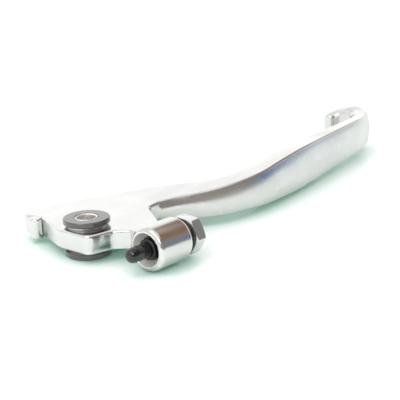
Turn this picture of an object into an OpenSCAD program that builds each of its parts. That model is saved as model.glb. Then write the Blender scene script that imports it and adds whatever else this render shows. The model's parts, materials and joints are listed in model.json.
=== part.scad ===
// Right-hand front brake lever of a motorbike, with pivot bushes, reach adjuster and push rod.
// The pivot axis is Z through the origin, X runs outward along the handlebar, Y points forward.
// All sizes are in millimetres and all angles in degrees.

/* [Blade] */
// Distance from the pivot axis to the outermost point of the curled end
blade_reach = 172.6; // [140:0.2:210]
// Height of the blade at its tallest station
blade_height = 15.2; // [11:0.1:20]
// How far the front face of the blade dips back toward the rider
blade_dip = 14.8; // [8:0.1:20]
// How far forward the front face of the blade stands where the curl begins
blade_sweep = 3.4; // [-4:0.1:10]
// Thickness of the blade just before the curl
blade_tip_thickness = 6.2; // [4:0.1:9]
// Radius of the curl, measured to its centre line
curl_radius = 7.6; // [6.5:0.1:10]
// Angle through which the end of the blade curls forward and back
curl_angle = 160; // [120:1:180]
// Greatest thickness of the curl, at its outer corner
curl_thickness = 8; // [6:0.1:9]
// Thickness of the curl at its end
curl_end_thickness = 4; // [3:0.1:6]
// Radius of the crisp upper and lower edge of the front face
face_edge = 1.1; // [0.6:0.1:2]
// Radius of the softer edges on the back of the blade
back_edge = 2.4; // [1:0.1:3]
// Bulge of the front face between its two edges
face_crown = 1; // [0:0.05:1.5]

/* [Head] */
// Thickness of the flat head
head_thickness = 6.4; // [5:0.1:10]
// Rounding of the head's upper and lower edges
head_edge = 0.9; // [0.3:0.1:1.5]
// Distance from the pivot axis to the barrel axis
arm_length = 26; // [22:0.5:34]
// Diameter of the raised pivot boss on both sides of the head
boss_diameter = 12.4; // [11.5:0.1:14]
// Height of the raised pivot boss above the head
boss_height = 1; // [0.3:0.1:2]
// How far the nose stands forward of the pivot axis
nose_reach = 27.6; // [24:0.2:34]
// Radius of the round pad at the end of the nose
nose_radius = 2.3; // [1.8:0.1:3]
// How far the pad of the nose stands below the head
nose_drop = 1; // [0:0.1:2]

/* [Pivot] */
// Outer diameter of the two bush flanges
bush_flange_diameter = 15; // [13:0.1:18]
// Thickness of the two bush flanges
bush_flange_thickness = 1.8; // [1:0.1:2.5]
// Outer diameter of the bush bodies
bush_diameter = 10; // [9:0.1:11]
// Length of each bush body inside the head
bush_length = 3.6; // [2:0.1:4]
// Outer diameter of the pivot sleeve
sleeve_diameter = 7.4; // [7:0.1:8.5]
// Bore of the pivot sleeve, for the pivot bolt
sleeve_bore = 6.1; // [5:0.1:6.5]

/* [Barrel] */
// Outer diameter of the barrel
barrel_diameter = 14.1; // [12.8:0.1:16]
// Length of the barrel
barrel_length = 14.4; // [13:0.1:20]
// Position of the barrel's mouth along the handlebar, seen from the pivot axis
barrel_mouth = -0.6; // [-4:0.1:3]
// Diameter of the open mouth
mouth_bore = 10.9; // [10:0.1:12]
// Depth of the open mouth
mouth_depth = 7; // [5:0.1:9]
// Bore behind the mouth that carries the adjuster
thread_bore = 9; // [8.5:0.1:9.5]

/* [Adjuster and rod] */
// Distance across the flats of the adjuster's hexagon
hex_flats = 11.2; // [10:0.1:13]
// Thickness of the adjuster's hexagon
hex_thickness = 4.2; // [3:0.1:7]
// Angle at which the hexagon stands
hex_turn = 34; // [0:1:60]
// Thread pitch of the adjuster
thread_pitch = 1; // [0.75:0.25:1.5]
// Diameter of the push rod
rod_diameter = 4.9; // [3.5:0.1:5.2]
// Diameter of the ball at the inner end of the rod
ball_diameter = 6; // [5.5:0.1:6.4]
// How far the rod's tip stands out of the barrel's mouth
rod_reach = 7.9; // [6:0.1:14]
// Diameter of the boot's larger lip
boot_lip = 7.6; // [6.5:0.1:8.4]

/* [Hidden] */
// Radial clearance between a shaft and its bore
fit = 0.05;
// Gap between seated pieces
seat = 0.02;
half_head = head_thickness / 2;

polished = [0.86, 0.87, 0.88];
dark_plastic = [0.2, 0.2, 0.21];
steel = [0.7, 0.71, 0.72];
rubber = [0.07, 0.07, 0.08];
black_steel = [0.1, 0.1, 0.11];

// Smooth curve through stations: value of column c at place x
function slope(t, c, i) =
    i == 0 ? (t[1][c] - t[0][c]) / (t[1][0] - t[0][0])
    : i == len(t) - 1 ? (t[i][c] - t[i - 1][c]) / (t[i][0] - t[i - 1][0])
    : (t[i + 1][c] - t[i - 1][c]) / (t[i + 1][0] - t[i - 1][0]);
function hermite(a, b, ma, mb, d, u) =
    a * (1 + 2 * u) * (1 - u) * (1 - u) + ma * d * u * (1 - u) * (1 - u)
    + b * u * u * (3 - 2 * u) + mb * d * u * u * (u - 1);
function place(t, x, i = 0) = i >= len(t) - 2 || x <= t[i + 1][0] ? i : place(t, x, i + 1);
function at(t, c, x) =
    let (i = place(t, x), d = t[i + 1][0] - t[i][0])
    hermite(t[i][c], t[i + 1][c], slope(t, c, i), slope(t, c, i + 1), d, (x - t[i][0]) / d);
function ease(a, b, x) =
    let (u = max(0, min(1, (x - a) / (b - a))))
    u * u * (3 - 2 * u);

// How far the outer corner of the curl stands past its start
curl_outset = 0.87 * curl_radius + curl_thickness / 2;
blade_end = blade_reach - curl_outset;
// Stations of the blade: place outward, front face, back face, half height
s = blade_end / 159;
hh = blade_height / 2;
blade = [
    [24, 1, 17.6, half_head - 0.45],
    [28, -0.05 * blade_dip, 18.9, half_head - 0.17],
    [31, -0.12 * blade_dip, 18.45, half_head + 0.06],
    [35, -0.22 * blade_dip, 15.4, half_head + 0.45],
    [39, -0.41 * blade_dip, 12, half_head + 0.95],
    [45 * s, -0.7 * blade_dip, 6.3, 0.62 * hh],
    [52 * s, -0.89 * blade_dip, -0.6, 0.68 * hh],
    [60 * s, -0.98 * blade_dip, 10.2 - 0.98 * blade_dip, 0.74 * hh],
    [70 * s, -blade_dip, 9.9 - blade_dip, 0.82 * hh],
    [84 * s, -0.86 * blade_dip, 9.3 - 0.86 * blade_dip, 0.94 * hh],
    [99 * s, -0.68 * blade_dip, 8.7 - 0.68 * blade_dip, hh],
    [117 * s, blade_sweep - 9.8, blade_sweep - 1.8, 0.97 * hh],
    [136 * s, blade_sweep - 6, blade_sweep + 1.2, 0.92 * hh],
    [152 * s, blade_sweep - 2.6, blade_sweep + 4, 0.88 * hh],
    [blade_end, blade_sweep, blade_sweep + 1.04 * blade_tip_thickness, 0.85 * hh]
];
blade_start = 24;
function mid(x) = (at(blade, 1, x) + at(blade, 2, x)) / 2;
function heading(x) = atan((mid(x + 0.5) - mid(x - 0.5)));
end_heading = atan(mid(blade_end) - mid(blade_end - 1));
function turn_at(x) = x > blade_end - 1 ? end_heading : heading(max(x, 25)) * ease(34, 90, x);

// One cross-section: outline of the blade seen along its length, front face first
function corner(cn, cz, r, a0, a1, n = 4) =
    [for (i = [0:n]) let (a = a0 + (a1 - a0) * i / n) [cn + r * cos(a), cz + r * sin(a)]];
function section(w, h, shrink = 0, soft = 1) =
    let (
        fr = min(face_edge, w * 0.45, h * 0.9),
        br = min(head_edge + (back_edge - head_edge) * soft, w * 0.45, h * 0.9),
        a = w / 2 - shrink,
        b = h - shrink,
        crown = face_crown * min(1, w / 9),
        lean = atan(2 * crown / (b - fr)),
        face_n = -a + fr * (1 - cos(lean)),
        face_z = b - fr * (1 - sin(lean))
    )
    concat(
        corner(-a + fr, b - fr, fr, 90, 180 - lean),
        [for (k = [3:-1:-3]) let (t = k / 4) [face_n - crown * (1 - t * t), t * face_z]],
        corner(-a + fr, -b + fr, fr, 180 + lean, 270),
        corner(a - br, -b + br, br, 270, 360),
        corner(a - br, b - br, br, 0, 90)
    );
function put(sec, x, y, turn) =
    [for (p = sec) [x - p[0] * sin(turn), y + p[0] * cos(turn), p[1]]];

blade_steps = 54;
blade_sections = [
    for (i = [0:blade_steps])
        let (
            x = blade_start + (blade_end - blade_start) * i / blade_steps,
            turn = turn_at(x),
            w = (at(blade, 2, x) - at(blade, 1, x)) * cos(turn)
        )
        put(section(w, at(blade, 3, x), 0, ease(28, 60, x)), x, mid(x), turn)
];
// The curl: stations from its start (0) to its end (1) with thickness and height, then its spine
start_thickness = (at(blade, 2, blade_end) - at(blade, 1, blade_end)) * cos(end_heading);
curl = [
    [0, start_thickness, 0.85],
    [0.25, (start_thickness + curl_thickness) / 2, 0.9],
    [0.5, curl_thickness, 0.95],
    [0.8, curl_end_thickness + 1.4, 0.76],
    [1, curl_end_thickness, 0.6]
];
curl_steps = 20;
curl_step = curl_angle / curl_steps;
function curl_r(f) = curl_radius * (1.22 - 0.5 * f);
function curl_heading(i) = end_heading + i * curl_step;
function advance(p, i) =
    let (d = curl_r(i / curl_steps) * curl_step * PI / 180, a = curl_heading(i + 0.5))
    p + d * [cos(a), sin(a)];
curl_spine = [for (i = 0, p = [blade_end, mid(blade_end)]; i <= curl_steps; p = advance(p, i), i = i + 1) p];
end_round = 0.9;
curl_sections = concat(
    [
        for (i = [1:curl_steps])
            put(section(at(curl, 1, i / curl_steps), hh * at(curl, 2, i / curl_steps)),
                curl_spine[i][0], curl_spine[i][1], curl_heading(i))
    ],
    [
        for (k = [30, 60, 90])
            let (a = curl_heading(curl_steps), p = curl_spine[curl_steps] + end_round * sin(k) * [cos(a), sin(a)])
            put(section(curl_end_thickness, hh * 0.6, end_round * (1 - cos(k))), p[0], p[1], a)
    ]
);
lever_sections = concat(blade_sections, curl_sections);

module loft(rings) {
    n = len(rings[0]);
    m = len(rings);
    points = [for (r = rings) for (p = r) p];
    sides = [
        for (j = [0:m - 2])
            for (i = [0:n - 1])
                let (k = (i + 1) % n, a = j * n)
                for (t = [[a + i, a + n + k, a + k], [a + i, a + n + i, a + n + k]]) t
    ];
    first = [for (i = [0:n - 1]) i];
    last = [for (i = [0:n - 1]) m * n - 1 - i];
    polyhedron(points = points, faces = concat(sides, [first], [last]), convexity = 12);
}

// Outline with rounded corners: each corner is [x, y, radius]
function unit(v) = v / norm(v);
function cross2(a, b) = a[0] * b[1] - a[1] * b[0];
function rounded(c, per = 15) = [
    for (i = [0:len(c) - 1])
        let (
            p = [c[i][0], c[i][1]],
            q = c[(i + len(c) - 1) % len(c)],
            r = c[(i + 1) % len(c)],
            u = unit([q[0], q[1]] - p),
            v = unit([r[0], r[1]] - p),
            half = acos(max(-1, min(1, u * v))) / 2,
            rad = c[i][2],
            cut = rad / tan(half),
            mid_dir = unit(u + v),
            centre = p + mid_dir * rad / sin(half),
            left = cross2(-u, v) > 0,
            start = atan2((p + u * cut - centre)[1], (p + u * cut - centre)[0]),
            sweep = 180 - 2 * half,
            steps = max(1, ceil(sweep / per))
        )
        for (k = [0:steps])
            let (a = start + (left ? 1 : -1) * sweep * k / steps)
            [centre[0] + rad * cos(a), centre[1] + rad * sin(a)]
];
function outward(o, i) =
    let (n = len(o), d = unit(o[(i + 1) % n] - o[(i + n - 1) % n]))
    [d[1], -d[0]];
function inset(o, by) = [for (i = [0:len(o) - 1]) o[i] - outward(o, i) * by];
function level(o, z) = [for (p = o) [p[0], p[1], z]];

// Outline of the flat head, counter-clockwise from the corner below the pivot
barrel_y = -arm_length;
barrel_r = barrel_diameter / 2;
arm_front = barrel_mouth + 4.2;
arm_back = barrel_mouth + barrel_length - 0.4;
nose_y = nose_reach - 6.6;
head_corners = [
    [-8.4, -8.7, 2.6],
    [0.4, -10.6, 3],
    [arm_front, -15, 3],
    [arm_front, barrel_y, 0.8],
    [arm_back, barrel_y, 0.8],
    [arm_back, barrel_y + 6.4, 3],
    [18.4, barrel_y + 13, 5],
    [25.4, -2.8, 3.2],
    [32, -0.13 * blade_dip, 0.8],
    [38, 6, 1],
    [30.7, 18.6, 1],
    [13, nose_reach - 1.6, 12],
    [4, nose_reach + 0.6, 6],
    [-3.4, nose_reach, 2.6],
    [-3.4, nose_reach - 3.6, 1.2],
    [-2.2, nose_y - 1.6, 2],
    [-3.2, nose_y - 4.4, 1.2],
    [-7.9, 5.6, 14]
];
head_outline = rounded(head_corners);
edge_steps = 3;
head_rings = concat(
    [
        for (i = [0:edge_steps])
            let (a = 90 * i / edge_steps)
            level(inset(head_outline, head_edge * (1 - sin(a))), -half_head + head_edge * (1 - cos(a)))
    ],
    [
        for (i = [edge_steps:-1:0])
            let (a = 90 * i / edge_steps)
            level(inset(head_outline, head_edge * (1 - sin(a))), half_head - head_edge * (1 - cos(a)))
    ]
);

module along_barrel(x) {
    translate([x, barrel_y, 0])
        rotate([0, 90, 0])
            children();
}

module barrel_solid() {
    front = 1.5;
    back = 1.6;
    along_barrel(barrel_mouth)
        rotate_extrude($fn = 60)
            polygon(concat(
                [[0, 0]],
                [for (k = [0:18:90]) [barrel_r - front + front * sin(k), front - front * cos(k)]],
                [for (k = [0:18:90]) [barrel_r - back + back * cos(k), barrel_length - back + back * sin(k)]],
                [[0, barrel_length]]
            ));
}

rear = barrel_mouth + barrel_length;
// Fillet that carries the flat of the arm up onto the barrel
fillet_r = 4;
fillet_y = barrel_y + sqrt(pow(barrel_r + fillet_r, 2) - pow(half_head + fillet_r, 2));
fillet_z = half_head + fillet_r;
fillet_end = atan2(-fillet_z, barrel_y - fillet_y);
function fillet_ring(x, in) = concat(
    [for (k = [0:8]) let (a = -90 + (fillet_end + 90) * k / 8)
        [x, fillet_y + (fillet_r + in) * cos(a), fillet_z + (fillet_r + in) * sin(a)]],
    [[x, barrel_y + 1, 0.5], [x, fillet_y, 0.5]]
);
fillet_rings = concat(
    [for (k = [0, 30, 60, 90]) fillet_ring(arm_front + head_edge * (1 - cos(k)), head_edge * (1 - sin(k)))],
    [for (k = [90, 60, 30, 0]) fillet_ring(rear - 0.7 - head_edge * (1 - cos(k)), head_edge * (1 - sin(k)))]
);
module nose_pad() {
    tall = head_thickness + nose_drop - 0.15;
    low = 1.2;
    top = 0.7;
    translate([-0.9 - nose_radius, nose_y - 0.2, -half_head - nose_drop])
        rotate_extrude($fn = 40)
            polygon(concat(
                [[0, 0]],
                [for (k = [0:22.5:90]) [nose_radius - low + low * sin(k), low - low * cos(k)]],
                [for (k = [0:22.5:90]) [nose_radius - top + top * cos(k), tall - top + top * sin(k)]],
                [[0, tall]]
            ));
}

// Joins the forged shapes into one closed skin before the bores are cut
module one_skin() {
    resize([0, 0, 0])
        union()
            children();
}

module lever_body() {
    color(polished)
        difference() {
            one_skin() {
                loft(head_rings);
                loft(lever_sections);
                loft(fillet_rings);
                mirror([0, 0, 1])
                    loft(fillet_rings);
                barrel_solid();
                nose_pad();
                cylinder(d = boss_diameter, h = head_thickness + 2 * boss_height, center = true, $fn = 60);
            }
            cylinder(d = bush_diameter + 0.04, h = 40, center = true, $fn = 72);
            along_barrel(barrel_mouth - 5)
                cylinder(d = mouth_bore, h = mouth_depth + 5, $fn = 72);
            along_barrel(barrel_mouth)
                cylinder(d = thread_bore, h = barrel_length + 5, $fn = 72);
        }
}

bush_face = half_head + boss_height;
module bush() {
    chamfer = 0.3;
    r = bush_flange_diameter / 2;
    b = bush_diameter / 2;
    i = sleeve_diameter / 2 + fit;
    translate([0, 0, bush_face + seat])
        rotate_extrude($fn = 72)
            polygon([
                [i, -bush_length + 0.3],
                [i + 0.3, -bush_length],
                [b - 0.4, -bush_length],
                [b, -bush_length + 0.4],
                [b, 0],
                [r - chamfer, 0],
                [r, chamfer],
                [r, bush_flange_thickness - chamfer],
                [r - chamfer, bush_flange_thickness],
                [i + 0.3, bush_flange_thickness],
                [i, bush_flange_thickness - 0.3]
            ]);
}
module pivot_bush_upper() {
    color(dark_plastic)
        bush();
}
module pivot_bush_lower() {
    color(dark_plastic)
        rotate([180, 0, 0])
            bush();
}

module pivot_sleeve() {
    long = 2 * (bush_face + bush_flange_thickness) + 0.1;
    r = sleeve_diameter / 2;
    color(steel)
        rotate_extrude($fn = 72)
            polygon([
                [sleeve_bore / 2, -long / 2 + 0.3],
                [sleeve_bore / 2 + 0.3, -long / 2],
                [r - 0.2, -long / 2],
                [r, -long / 2 + 0.2],
                [r, long / 2 - 0.2],
                [r - 0.2, long / 2],
                [sleeve_bore / 2 + 0.3, long / 2],
                [sleeve_bore / 2, long / 2 - 0.3]
            ]);
}

// The adjuster sits in the barrel; its socket holds the rod's ball
oring_gap = 0.3;
oring_width = 1.9;
hex_at = rear + oring_gap + oring_width + 0.05;
shank_r = thread_bore / 2 - fit;
shank_front = barrel_mouth + mouth_depth - 2.4;
ball_at = shank_front + 4.4;
socket_r = ball_diameter / 2 + 0.05;
clip_width = 0.8;
clip_at = ball_at - 1.85 - clip_width;
module adjuster_screw() {
    color(steel)
        difference() {
            union() {
                along_barrel(shank_front)
                    cylinder(r = shank_r, h = hex_at - shank_front + 1, $fn = 72);
                intersection() {
                    along_barrel(hex_at)
                        rotate([0, 0, hex_turn])
                            cylinder(d = hex_flats / cos(30), h = hex_thickness, $fn = 6);
                    along_barrel(hex_at)
                        rotate_extrude($fn = 72)
                            polygon([
                                [0, 0],
                                [hex_flats / 2 - 0.1, 0],
                                [hex_flats / 2 + 1, 0.6],
                                [hex_flats / 2 + 1, hex_thickness - 0.6],
                                [hex_flats / 2 - 0.1, hex_thickness],
                                [0, hex_thickness]
                            ]);
                }
            }
            along_barrel(shank_front - 1)
                cylinder(r = socket_r, h = ball_at - shank_front + 1, $fn = 72);
            along_barrel(clip_at - fit)
                cylinder(r = socket_r + 0.35, h = clip_width + 2 * fit, $fn = 72);
            along_barrel(ball_at)
                sphere(r = socket_r, $fn = 72);
            along_barrel(hex_at + hex_thickness - 1.2)
                cylinder(d = 6, h = 5, $fn = 72);
        }
}
module adjuster_oring() {
    thick = 1.5;
    along = rear + oring_gap;
    color(rubber)
        along_barrel(along + oring_width / 2)
            rotate_extrude($fn = 72)
                polygon(concat(
                    [[shank_r + 0.02, -oring_width / 2], [shank_r + 0.02, oring_width / 2]],
                    [for (k = [90:-15:-90]) [shank_r + 0.5 + cos(k) * thick * 0.7, sin(k) * oring_width / 2]]
                ));
}

neck_at = barrel_mouth - 4.4;
tip_at = barrel_mouth - rod_reach;
module push_rod() {
    r = rod_diameter / 2;
    b = ball_diameter / 2;
    waist = 1.7;
    color(black_steel)
        along_barrel(0)
            rotate_extrude($fn = 72)
                polygon(concat(
                    [for (k = [0:10:90]) [r * 0.94 * sin(k), tip_at + r * 0.8 - r * 0.8 * cos(k)]],
                    [
                        [r, tip_at + r * 0.8 + 0.3],
                        [r, neck_at - 0.9],
                        [r - 0.5, neck_at - 0.5],
                        [r - 0.5, neck_at + 0.5],
                        [r, neck_at + 0.9],
                        [r, shank_front + 0.2],
                        [waist, shank_front + 0.9],
                        [waist, ball_at - sqrt(b * b - waist * waist)]
                    ],
                    [for (k = [140:-10:0]) if (b * sin(k) > waist + 0.1 || k < 90)
                        [b * sin(k), ball_at + b * cos(k)]]
                ));
}
module rod_boot() {
    r = rod_diameter / 2 + 0.02;
    front = barrel_mouth + 0.4;
    back = shank_front - 0.3;
    lip = boot_lip / 2;
    color(rubber)
        along_barrel(0)
            rotate_extrude($fn = 72)
                polygon([
                    [r, front],
                    [r + 0.6, front],
                    [r + 0.9, front + 0.3],
                    [lip - 0.8, back - 2.2],
                    [lip - 0.2, back - 2.2],
                    [lip, back - 1.95],
                    [lip, back - 1.65],
                    [lip - 0.2, back - 1.4],
                    [lip - 0.7, back - 1.2],
                    [lip - 0.7, back - 0.9],
                    [lip - 0.3, back - 0.7],
                    [lip - 0.1, back - 0.5],
                    [lip - 0.1, back - 0.2],
                    [lip - 0.3, back],
                    [r, back]
                ]);
}
module rod_retainer() {
    color(steel)
        along_barrel(clip_at)
            rotate_extrude($fn = 72)
                translate([socket_r - 0.55, 0])
                    square([0.85, clip_width]);
}

lever_body();
pivot_bush_upper();
pivot_bush_lower();
pivot_sleeve();
adjuster_screw();
adjuster_oring();
push_rod();
rod_boot();
rod_retainer();
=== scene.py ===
"""Looks of a polished motorbike brake lever on a white glass table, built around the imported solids."""

import json
import math

import bpy
from bpy.props import FloatProperty, FloatVectorProperty, PointerProperty
from mathutils import Matrix, Quaternion, Vector

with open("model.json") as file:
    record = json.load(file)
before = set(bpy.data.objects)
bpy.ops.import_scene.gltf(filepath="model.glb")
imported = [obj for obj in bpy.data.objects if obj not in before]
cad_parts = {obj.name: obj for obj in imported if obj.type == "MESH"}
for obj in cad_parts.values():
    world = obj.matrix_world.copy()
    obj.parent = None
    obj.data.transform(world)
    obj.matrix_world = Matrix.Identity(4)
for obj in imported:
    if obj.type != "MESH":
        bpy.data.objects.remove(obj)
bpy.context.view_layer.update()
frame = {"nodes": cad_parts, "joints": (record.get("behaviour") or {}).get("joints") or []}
NODES = frame["nodes"]
MM = 0.001
# The adjuster turns on the axis of the barrel.
BARREL_Y = next(joint["pos_m"][1] for joint in frame["joints"] if joint["name"] == "adjuster_turn")
# The wall of the drilled mouth lies at this distance from that axis, and the polish begins over this width.
MOUTH_RADIUS = 5.45 * MM
MOUTH_RIM = 0.15 * MM
# The head's finer polish gives way to the blade's between these two places along the lever.
HEAD_END = 28 * MM
BLADE_START = 48 * MM

bl_info = {
    "name": "Brake lever looks",
    "version": (1, 0, 0),
    "blender": (4, 5, 0),
    "location": "View3D > Sidebar > Brake lever",
    "description": "Finishes for a polished brake lever with its adjuster, push rod and bushes",
    "category": "Object",
}


def linear(text):
    """An sRGB hex colour as linear red, green and blue."""
    parts = [int(text[i : i + 2], 16) / 255 for i in (1, 3, 5)]
    return tuple(c / 12.92 if c <= 0.04045 else ((c + 0.055) / 1.055) ** 2.4 for c in parts)


def colour(name, text, description):
    """A colour property whose default is an sRGB hex value."""
    return FloatVectorProperty(
        name=name, description=description, subtype="COLOR", size=3, min=0, max=1, default=linear(text)
    )


def length(name, metres, description):
    """A length property in metres."""
    return FloatProperty(
        name=name,
        description=description,
        subtype="DISTANCE",
        unit="LENGTH",
        min=0,
        precision=5,
        default=metres,
    )


def point(name, metres, description):
    """A place in the lever's frame, in metres."""
    return FloatVectorProperty(
        name=name, description=description, subtype="TRANSLATION", unit="LENGTH", size=3, default=metres
    )


def angle(name, degrees, description):
    """An angle property, given in degrees."""
    return FloatProperty(
        name=name, description=description, subtype="ANGLE", unit="ROTATION", default=math.radians(degrees)
    )


def share(name, value, description):
    """A plain number from 0 to 1."""
    return FloatProperty(name=name, description=description, min=0, max=1, default=value)


def amount(name, value, description):
    """A plain number without a limit."""
    return FloatProperty(name=name, description=description, default=value)


class LeverFinish(bpy.types.PropertyGroup):
    """Colours and surface sizes of the lever's pieces."""

    aluminium: colour("Polished aluminium", "#dcdcda", "Colour of the polished forging")
    head_roughness: share("Head roughness", 0.16, "How much the polish of the head blurs what it mirrors")
    blade_roughness: share("Blade roughness", 0.24, "How much the polish of the blade blurs what it mirrors")
    bore_roughness: share("Bore roughness", 0.55, "Roughness of the mouth left by the drill")
    # Painted shade: this dark colour and the corner size below, which the descriptions call buffing residue,
    # darken the polished metal in corners and crevices where the light hardly reaches.
    painted_corner_shade: colour("Painted corner shade", "#2c2a27", "Colour of the buffing residue that stays in the corners")
    corner: length("Corner size", 1.6 * MM, "How far from a corner that residue reaches")
    # Real buffing lines lie closer together. These are as coarse as the render needs to show them.
    polish_line: length("Polish line", 0.35 * MM, "Distance between the lines that the buffing wheel leaves")
    smear: length("Smear size", 9 * MM, "Size of the smears that handling leaves on the polish")
    wave: length("Wave size", 6 * MM, "Size of the shallow waves that buffing by hand leaves")
    nick: length("Nick distance", 6 * MM, "Distance between the small nicks in the polish")
    bush: colour("Bush plastic", "#403e3e", "Colour of the moulded pivot bushes")
    # The grain of a real mould is finer. This one is as coarse as the render needs to show it.
    bush_grain: length("Bush grain", 0.25 * MM, "Grain of the moulded plastic")
    steel: colour("Turned steel", "#f0eee9", "Colour of the pivot sleeve")
    zinc: colour("Zinc plate", "#d8dad8", "Colour of the plated adjuster screw")
    rubber: colour("Rubber", "#111112", "Colour of the O-ring and the boot")
    dust: colour("Dust", "#55534f", "Colour of the dust on the rubber")
    black_steel: colour("Blacked steel", "#0c0c0d", "Colour of the push rod")
    rubbed_steel: colour("Rubbed steel", "#6a6866", "Colour of the steel where the black is rubbed off")
    soft_edge: angle("Soft edge", 34, "Edges flatter than this shade as one smooth surface")


class LeverStage(bpy.types.PropertyGroup):
    """Camera, table and light."""

    looks_at: point("Looks at", (0.048386, -0.004843, 0), "Point that the camera looks at")
    azimuth: angle("Azimuth", -47.951, "Direction of the camera round the lever")
    elevation: angle("Elevation", 16.565, "Height of the camera above the horizon")
    roll: angle("Roll", -2.733, "Turn of the camera about its own view")
    distance: length("Distance", 0.410886, "Distance from the camera to the point it looks at")
    lens: amount("Lens", 108, "Focal length in millimetres on a sensor 36 mm wide")
    table: colour("Table", "#fefefe", "Colour of the white table")
    # Painted glow: the table gives off this faint green light of its own, though it is no lamp, which tints
    # its shadows and the underside of the lever green.
    painted_glow_tint: colour("Painted glow tint", "#6fb79a", "Colour of the light that the glass table scatters")
    # Painted shadow: the glass takes this colour where ambient occlusion finds the lever close by, as far as
    # the shade reach below.
    painted_shadow_tint: colour("Painted shadow tint", "#c3dbd1", "Colour of the glass where the lever keeps the light off")
    shade_reach: length("Shade reach", 9 * MM, "How far from the lever the glass still takes its shade")
    table_size: length("Table size", 8, "Side of the square table")
    lean_x: angle("Lean outward", 1.4, "Fall of the table along the lever, as the lever rests on it")
    lean_y: angle("Lean back", 2.1, "Fall of the table toward the barrel, as the lever rests on it")
    window_lamp: point("Window lamp", (-0.38, 0.0, 0.6), "Place of the lamp above")
    low_lamp: point("Low lamp", (-0.36, -0.2, 0.13), "Place of the lamp that shines into the barrel's mouth")
    ceiling: colour("Ceiling", "#ffffff", "Colour of the light room above")
    glow: amount("Glow", 1.3, "How much brighter the wall behind the table is")
    flare: amount("Flare", 9.0, "How much brighter the ceiling lamp over the camera is")
    room: colour("Room", "#968e89", "Colour of the darker room behind the camera")
    cupboard: colour("Cupboard", "#8f6f58", "Colour of the warm wood to the right")
    window: colour("Window", "#5f7fae", "Colour of the cool patch low on the right")


def node(tree, kind, inputs=(), **settings):
    """Adds a node with its settings and inputs, which are named or stand in the order that the node shows.

    An input is a value, a socket, or a node, which stands for the first output that it shows.
    """
    made = tree.nodes.new(kind)
    for key, value in settings.items():
        setattr(made, key, value)
    shown = [socket for socket in made.inputs if socket.enabled]
    named = inputs if isinstance(inputs, dict) else dict(enumerate(inputs))
    for key, value in named.items():
        socket = made.inputs[key] if isinstance(key, str) else shown[key]
        if isinstance(value, bpy.types.Node):
            value = next(output for output in value.outputs if output.enabled)
        if isinstance(value, bpy.types.NodeSocket):
            tree.links.new(value, socket)
        elif socket.type == "RGBA":
            socket.default_value = (*value[:3], 1)
        else:
            socket.default_value = value
    return made


def new_material(name):
    """A named material with an empty tree, and the piece's own coordinates in it."""
    made = bpy.data.materials.new(name)
    made.use_nodes = True
    tree = made.node_tree
    tree.nodes.clear()
    return made, tree, node(tree, "ShaderNodeTexCoord").outputs["Object"]


def pattern(tree, place, size, inputs, drawn=(1, 1, 1), kind="ShaderNodeTexNoise"):
    """A texture whose pattern has a real size in metres and is drawn out so many times along each axis.

    Its heights run from about 0 to 1, and the materials pick their patches by ranges of them.
    """
    scale = [1 / (size * times) for times in drawn]
    there = node(tree, "ShaderNodeMapping", {"Vector": place, "Scale": scale})
    return node(tree, kind, {"Vector": there, "Scale": 1, **inputs})


def polished_aluminium(finish):
    """Forged aluminium, buffed by hand: mirrors softly, with fine buffing lines, smears and a few nicks.

    The buffing wheel doesn't reach into the drilled mouth of the barrel, which stays pale and dull.
    The corners and crevices, where the light hardly reaches, get a painted shade.
    """
    made, tree, place = new_material("polished_aluminium")
    lines = pattern(tree, place, finish.polish_line, {"Detail": 3, "Roughness": 0.6}, (60, 60, 1))
    smears = pattern(tree, place, finish.smear, {"Detail": 2, "Roughness": 0.5}, (2.2, 1, 1))
    waves = pattern(tree, place, finish.wave, {"Detail": 1}, (2, 1, 1))
    nicks = pattern(tree, place, finish.nick, {"Randomness": 1}, (1.2, 1, 1), "ShaderNodeTexVoronoi")

    across = node(tree, "ShaderNodeVectorMath", (place, (0, 1, 1)), operation="MULTIPLY")
    radius = node(tree, "ShaderNodeVectorMath", (across, (0, BARREL_Y, 0)), operation="DISTANCE")
    polished = node(tree, "ShaderNodeMapRange", (radius, MOUTH_RADIUS, MOUTH_RADIUS + MOUTH_RIM))

    outward = node(tree, "ShaderNodeSeparateXYZ", (place,)).outputs["X"]
    roughness = (finish.head_roughness, finish.blade_roughness)
    evenly = node(tree, "ShaderNodeMapRange", (outward, HEAD_END, BLADE_START, *roughness))
    handled = node(tree, "ShaderNodeMapRange", (smears, 0.3, 0.75, 0.75, 1.5))
    smeared = node(tree, "ShaderNodeMath", (evenly, handled), operation="MULTIPLY")
    nicked = node(tree, "ShaderNodeMapRange", (nicks, 0.02, 0.05, 0.7, smeared))
    dull = node(tree, "ShaderNodeMapRange", (polished, 0, 1, finish.bore_roughness, nicked))

    # Painted shade: where ambient occlusion finds the metal hemmed in, the polished colour is darkened toward
    # the corner shade colour.
    corners = node(tree, "ShaderNodeAmbientOcclusion", {"Distance": finish.corner}, samples=8)
    hidden = node(tree, "ShaderNodeMapRange", (corners.outputs["AO"], 0.12, 0.5, 0.85, 0))
    corner_shade_mask = node(tree, "ShaderNodeMath", (polished, hidden), operation="MULTIPLY")
    darker = [c * 0.93 for c in finish.aluminium]
    dim = node(tree, "ShaderNodeMapRange", (smears, 0.35, 0.7))
    tint = node(tree, "ShaderNodeMix", (dim, finish.aluminium, darker), data_type="RGBA")
    tint = node(tree, "ShaderNodeMix", (polished, finish.steel, tint), data_type="RGBA")
    tint = node(tree, "ShaderNodeMix", (corner_shade_mask, tint, finish.painted_corner_shade), data_type="RGBA")

    lined = node(tree, "ShaderNodeBump", {"Height": lines, "Strength": 0.03, "Distance": 0.006 * MM})
    waved = node(
        tree, "ShaderNodeBump", {"Height": waves, "Strength": 0.25, "Distance": 0.06 * MM, "Normal": lined}
    )
    shader = node(
        tree,
        "ShaderNodeBsdfPrincipled",
        {"Base Color": tint, "Metallic": polished, "Roughness": dull, "Normal": waved},
    )
    node(tree, "ShaderNodeOutputMaterial", {"Surface": shader})
    return made


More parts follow.
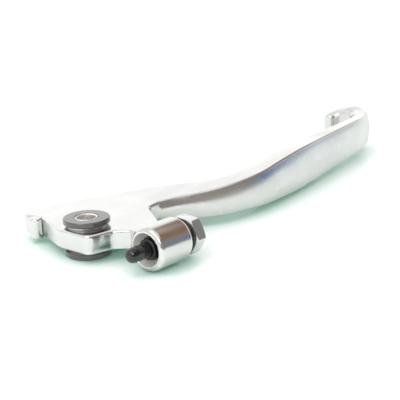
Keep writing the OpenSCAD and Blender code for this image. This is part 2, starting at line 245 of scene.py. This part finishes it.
def moulded_nylon(finish):
    """Filled nylon from a mould: dark grey with a low sheen, a fine grain and paler rubbed patches."""
    made, tree, place = new_material("moulded_nylon")
    grain = pattern(tree, place, finish.bush_grain, {"Detail": 4})
    rubbed = pattern(tree, place, 2.5 * MM, {"Detail": 4}, (1.5, 1, 1))
    paler = [c * 1.6 for c in finish.bush]
    pale = node(tree, "ShaderNodeMapRange", (rubbed, 0.45, 0.75, 0, 0.5))
    shader = node(
        tree,
        "ShaderNodeBsdfPrincipled",
        {
            "Base Color": node(tree, "ShaderNodeMix", (pale, finish.bush, paler), data_type="RGBA"),
            "Roughness": node(tree, "ShaderNodeMapRange", (grain, 0.3, 0.7, 0.16, 0.26)),
            "IOR": 1.56,
            "Coat Weight": 0.5,
            "Coat Roughness": 0.12,
            "Normal": node(
                tree, "ShaderNodeBump", {"Height": grain, "Strength": 0.2, "Distance": 0.015 * MM}
            ),
        },
    )
    node(tree, "ShaderNodeOutputMaterial", {"Surface": shader})
    return made


def turned_metal(name, base, rough, mark, lift):
    """Metal from the lathe: fine tool marks widen what it mirrors, and it has a faint stain.

    The marks run closer along X than the render shows, so they read as a satin finish and not as lines.
    """
    made, tree, place = new_material(name)
    marks = pattern(tree, place, mark, {"Detail": 2}, (1 / 30, 1, 1))
    stain = pattern(tree, place, 3 * MM, {"Detail": 4})
    stained = [c * 0.86 for c in base]
    dim = node(tree, "ShaderNodeMapRange", (stain, 0.4, 0.7))
    shader = node(
        tree,
        "ShaderNodeBsdfPrincipled",
        {
            "Base Color": node(tree, "ShaderNodeMix", (dim, base, stained), data_type="RGBA"),
            "Metallic": 1,
            "Roughness": node(tree, "ShaderNodeMapRange", (stain, 0.35, 0.7, rough * 0.8, rough * 1.4)),
            "Normal": node(
                tree, "ShaderNodeBump", {"Height": marks, "Strength": lift, "Distance": 0.015 * MM}
            ),
        },
    )
    node(tree, "ShaderNodeOutputMaterial", {"Surface": shader})
    return made


def moulded_rubber(finish):
    """Moulded nitrile rubber: black, with a low wet sheen and a little dust in its grain."""
    made, tree, place = new_material("moulded_rubber")
    grain = pattern(tree, place, 0.18 * MM, {"Detail": 3})
    dust = pattern(tree, place, 1.4 * MM, {"Detail": 5})
    dusty = node(tree, "ShaderNodeMapRange", (dust, 0.55, 0.85, 0, 0.2))
    shader = node(
        tree,
        "ShaderNodeBsdfPrincipled",
        {
            "Base Color": node(tree, "ShaderNodeMix", (dusty, finish.rubber, finish.dust), data_type="RGBA"),
            "Roughness": node(tree, "ShaderNodeMapRange", (dust, 0.4, 0.7, 0.3, 0.45)),
            "IOR": 1.46,
            "Normal": node(
                tree, "ShaderNodeBump", {"Height": grain, "Strength": 0.25, "Distance": 0.02 * MM}
            ),
        },
    )
    node(tree, "ShaderNodeOutputMaterial", {"Surface": shader})
    return made


def blacked_steel(finish):
    """Steel with a black oiled oxide: dark and glossy, with tool marks and small spots where it is rubbed."""
    made, tree, place = new_material("blacked_steel")
    marks = pattern(tree, place, 0.22 * MM, {"Detail": 2}, (1 / 20, 1, 1))
    rubbed = pattern(tree, place, 0.9 * MM, {"Detail": 5})
    bare = node(tree, "ShaderNodeMapRange", (rubbed, 0.6, 0.8, 0, 0.5))
    tones = (finish.black_steel, finish.rubbed_steel)
    shader = node(
        tree,
        "ShaderNodeBsdfPrincipled",
        {
            "Base Color": node(tree, "ShaderNodeMix", (bare, *tones), data_type="RGBA"),
            "Roughness": node(tree, "ShaderNodeMapRange", (rubbed, 0.4, 0.7, 0.1, 0.25)),
            "IOR": 1.5,
            "Coat Weight": 0.4,
            "Coat Roughness": 0.05,
            "Normal": node(
                tree, "ShaderNodeBump", {"Height": marks, "Strength": 0.2, "Distance": 0.01 * MM}
            ),
        },
    )
    node(tree, "ShaderNodeOutputMaterial", {"Surface": shader})
    return made


def smooth_normals(limit):
    """Geometry nodes that join the mesh's loose faces and shade every edge under the limit smoothly."""
    tree = bpy.data.node_groups.new("smooth_normals", "GeometryNodeTree")
    tree.interface.new_socket("Geometry", in_out="INPUT", socket_type="NodeSocketGeometry")
    tree.interface.new_socket("Geometry", in_out="OUTPUT", socket_type="NodeSocketGeometry")
    start = node(tree, "NodeGroupInput")
    joined = node(tree, "GeometryNodeMergeByDistance", {"Geometry": start, "Distance": 0.002 * MM})
    bend = node(tree, "GeometryNodeInputMeshEdgeAngle").outputs["Unsigned Angle"]
    steep = node(tree, "FunctionNodeCompare", (bend, limit), operation="GREATER_THAN")
    shaded = node(
        tree,
        "GeometryNodeSetMeshNormal",
        {"Mesh": joined, "Remove Custom": True, "Edge Sharpness": steep},
        mode="SHARPNESS",
    )
    node(tree, "NodeGroupOutput", (shaded,))
    return tree


def dress(name, material):
    """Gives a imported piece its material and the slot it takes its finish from."""
    piece = NODES[name]
    piece.data.materials.clear()
    piece.data.materials.append(material)
    return piece


class LEVER_OT_polished_body(bpy.types.Operator):
    """Shades the forged lever body as one smooth polished surface"""

    bl_idname = "lever.polished_body"
    bl_label = "Polished body"

    def execute(self, context):
        finish = context.scene.lever_finish
        body = dress("lever_body", polished_aluminium(finish))
        smooth = body.modifiers.new("Smooth surface", "NODES")
        smooth.node_group = smooth_normals(finish.soft_edge)
        weighted = body.modifiers.new("Flat faces stay flat", "WEIGHTED_NORMAL")
        weighted.keep_sharp = True
        weighted.weight = 50
        return {"FINISHED"}


class LEVER_OT_pivot(bpy.types.Operator):
    """Finishes the two flanged bushes and the sleeve between them"""

    bl_idname = "lever.pivot"
    bl_label = "Pivot"

    def execute(self, context):
        finish = context.scene.lever_finish
        nylon = moulded_nylon(finish)
        for name in ("pivot_bush_upper", "pivot_bush_lower"):
            dress(name, nylon)
        sleeve = turned_metal("turned_steel", finish.steel, rough=0.6, mark=0.12 * MM, lift=0.35)
        dress("pivot_sleeve", sleeve)
        return {"FINISHED"}


class LEVER_OT_adjuster(bpy.types.Operator):
    """Finishes the adjuster screw, its O-ring and the retainer of the rod's ball"""

    bl_idname = "lever.adjuster"
    bl_label = "Adjuster"

    def execute(self, context):
        finish = context.scene.lever_finish
        zinc = turned_metal("zinc_plated_steel", finish.zinc, rough=0.2, mark=0.15 * MM, lift=0.2)
        dress("adjuster_screw", zinc)
        dress("adjuster_oring", moulded_rubber(finish))
        spring = turned_metal("spring_steel", finish.steel, rough=0.3, mark=0.1 * MM, lift=0.2)
        dress("rod_retainer", spring)
        return {"FINISHED"}


class LEVER_OT_push_rod(bpy.types.Operator):
    """Finishes the push rod and its rubber boot, which takes the rubber of the adjuster's O-ring"""

    bl_idname = "lever.push_rod"
    bl_label = "Push rod"

    def execute(self, context):
        finish = context.scene.lever_finish
        dress("push_rod", blacked_steel(finish))
        dress("rod_boot", bpy.data.materials["moulded_rubber"])
        return {"FINISHED"}


def glass_table(stage):
    """White-backed glass: a faint mirror, with a painted green shadow close to the lever and a faint painted
    green glow of its own.
    """
    made, tree, _ = new_material("glass_table")
    # Painted shadow: ambient occlusion mixes the shadow colour into the white glass close to the lever.
    near = node(tree, "ShaderNodeAmbientOcclusion", {"Distance": stage.shade_reach}, samples=16)
    shaded = node(tree, "ShaderNodeMapRange", (near.outputs["AO"], 0.25, 0.9, 1, 0))
    shader = node(
        tree,
        "ShaderNodeBsdfPrincipled",
        {
            "Base Color": node(
                tree, "ShaderNodeMix", (shaded, stage.table, stage.painted_shadow_tint), data_type="RGBA"
            ),
            "Roughness": 0.6,
            "Specular IOR Level": 0,
            # Painted glow: the glass gives off a faint green light, though it is no lamp.
            "Emission Color": stage.painted_glow_tint,
            "Emission Strength": 0.16,
        },
    )
    gloss = node(tree, "ShaderNodeBsdfGlossy", {"Color": (1, 1, 1), "Roughness": 0.12})
    sheen = node(tree, "ShaderNodeMixShader", (0.12, shader, gloss))
    node(tree, "ShaderNodeOutputMaterial", {"Surface": sheen})
    return made


def room_light(stage):
    """The room that the metal mirrors: white, with a dark side, warm wood, a cool patch and a ceiling lamp.

    Only mirrored rays see it so. The camera sees plain white all round, and plain white lights the table.
    """
    world = bpy.data.worlds.new("room")
    bpy.context.scene.world = world
    world.use_nodes = True
    tree = world.node_tree
    tree.nodes.clear()
    sky = node(tree, "ShaderNodeTexCoord").outputs["Generated"]
    toward = node(tree, "ShaderNodeSeparateXYZ", (sky,)).outputs
    azimuth = node(tree, "ShaderNodeMath", (toward["Y"], toward["X"]), operation="ARCTAN2")
    elevation = node(tree, "ShaderNodeMath", (toward["Z"],), operation="ARCSINE")

    def band(value, low, high, soft):
        """1 between two angles in degrees and 0 outside them, with soft borders."""
        sides = []
        for edge, before, after in ((low, 0, 1), (high, 1, 0)):
            border = (math.radians(edge - soft), math.radians(edge + soft))
            side = (value, *border, before, after)
            sides.append(node(tree, "ShaderNodeMapRange", side, interpolation_type="SMOOTHSTEP"))
        return node(tree, "ShaderNodeMath", sides, operation="MULTIPLY")

    # Each band has its first and last angle and the width of its soft borders, first round and then up.
    light = stage.ceiling
    bright_wall = [c * stage.glow for c in stage.ceiling]
    ceiling_lamp = [c * stage.flare for c in stage.ceiling]
    for turn, height, tone in (
        ((8, 110, 12), (-5, 40, 6), bright_wall),
        ((-155, -30, 9), (-90, 52, 6), stage.room),
        ((-60, 30, 7), (24, 50, 6), stage.cupboard),
        ((-46, -16, 6), (-3, 14, 4), stage.window),
        ((-150, -130, 5), (28, 44, 5), ceiling_lamp),
    ):
        sides = (band(azimuth, *turn), band(elevation, *height))
        inside = node(tree, "ShaderNodeMath", sides, operation="MULTIPLY")
        light = node(tree, "ShaderNodeMix", (inside, light, tone), data_type="RGBA")
    mirrored = node(tree, "ShaderNodeLightPath").outputs["Is Glossy Ray"]
    seen = node(tree, "ShaderNodeMix", (mirrored, (1, 1, 1), light), data_type="RGBA")
    background = node(tree, "ShaderNodeBackground", {"Color": seen, "Strength": 1})
    node(tree, "ShaderNodeOutputWorld", {"Surface": background})


def add_table(stage):
    """A wide flat table just under the lever's lowest points."""
    half = stage.table_size / 2
    mesh = bpy.data.meshes.new("table")
    corners = [(-half, -half, 0), (half, -half, 0), (half, half, 0), (-half, half, 0)]
    mesh.from_pydata(corners, [], [(0, 1, 2, 3)])
    table = bpy.data.objects.new("table", mesh)
    upward = Vector((math.tan(stage.lean_x), -math.tan(stage.lean_y), 1)).normalized()
    points = (piece.matrix_world @ vertex.co for piece in NODES.values() for vertex in piece.data.vertices)
    lowest = min(upward.dot(point) for point in points) - 0.02 * MM
    x, y, _ = stage.looks_at
    table.location = (x, y, (lowest - upward.x * x - upward.y * y) / upward.z)
    table.rotation_mode = "QUATERNION"
    spin = Quaternion((0, 0, 1), stage.azimuth)
    table.rotation_quaternion = Vector((0, 0, 1)).rotation_difference(upward) @ spin
    table.data.materials.append(glass_table(stage))
    bpy.context.scene.collection.objects.link(table)


def add_lamp(name, place, target, size, watts, mirrored):
    """A square soft lamp that faces a point, and that the metal mirrors or doesn't."""
    data = bpy.data.lights.new(name, "AREA")
    data.size = size
    data.energy = watts
    lamp = bpy.data.objects.new(name, data)
    lamp.location = place
    lamp.rotation_euler = (Vector(target) - place).to_track_quat("-Z", "Y").to_euler()
    lamp.visible_glossy = mirrored
    bpy.context.scene.collection.objects.link(lamp)


def add_camera(stage):
    """The camera at the photograph's angle, lens and roll."""
    data = bpy.data.cameras.new("camera")
    data.sensor_width = 36
    data.lens = stage.lens
    data.clip_start, data.clip_end = 0.01, 20
    turn, rise, roll = stage.azimuth, stage.elevation, stage.roll
    back = Vector((math.sin(turn) * math.cos(rise), -math.cos(turn) * math.cos(rise), math.sin(rise)))
    right = Vector((math.cos(turn), math.sin(turn), 0))
    up = back.cross(right)
    rolled_right = math.cos(roll) * right + math.sin(roll) * up
    rolled_up = -math.sin(roll) * right + math.cos(roll) * up
    place = stage.looks_at + back * stage.distance
    rows = zip(rolled_right, rolled_up, back, place)
    camera = bpy.data.objects.new("camera", data)
    camera.matrix_world = Matrix([*rows, (0, 0, 0, 1)])
    bpy.context.scene.collection.objects.link(camera)
    bpy.context.scene.camera = camera


class LEVER_OT_stage(bpy.types.Operator):
    """Adds the table, the light and the camera"""

    bl_idname = "lever.stage"
    bl_label = "Stage"

    def execute(self, context):
        stage = context.scene.lever_stage
        add_table(stage)
        room_light(stage)
        head = (0.02, -0.02, 0)
        mouth = (0, BARREL_Y, 0)
        add_lamp("window_light", stage.window_lamp, head, size=0.34, watts=1.0, mirrored=True)
        add_lamp("low_light", stage.low_lamp, mouth, size=0.2, watts=0.9, mirrored=False)
        add_camera(stage)
        context.scene.view_settings.view_transform = "Standard"
        return {"FINISHED"}


STEPS = (LEVER_OT_polished_body, LEVER_OT_pivot, LEVER_OT_adjuster, LEVER_OT_push_rod, LEVER_OT_stage)


class LEVER_PT_panel(bpy.types.Panel):
    """Lists the settings and the steps"""

    bl_idname = "LEVER_PT_panel"
    bl_label = "Brake lever"
    bl_space_type = "VIEW_3D"
    bl_region_type = "UI"
    bl_category = "Brake lever"

    def draw(self, context):
        for settings in (context.scene.lever_finish, context.scene.lever_stage):
            column = self.layout.column()
            for key in settings.__annotations__:
                column.prop(settings, key)
        for step in STEPS:
            self.layout.operator(step.bl_idname)


CLASSES = (LeverFinish, LeverStage, *STEPS, LEVER_PT_panel)


def register():
    for made in CLASSES:
        bpy.utils.register_class(made)
    bpy.types.Scene.lever_finish = PointerProperty(type=LeverFinish)
    bpy.types.Scene.lever_stage = PointerProperty(type=LeverStage)


def unregister():
    del bpy.types.Scene.lever_stage
    del bpy.types.Scene.lever_finish
    for made in reversed(CLASSES):
        bpy.utils.unregister_class(made)


def main():
    register()
    bpy.ops.lever.polished_body()
    bpy.ops.lever.pivot()
    bpy.ops.lever.adjuster()
    bpy.ops.lever.push_rod()
    bpy.ops.lever.stage()


if __name__ == "__main__":
    main()
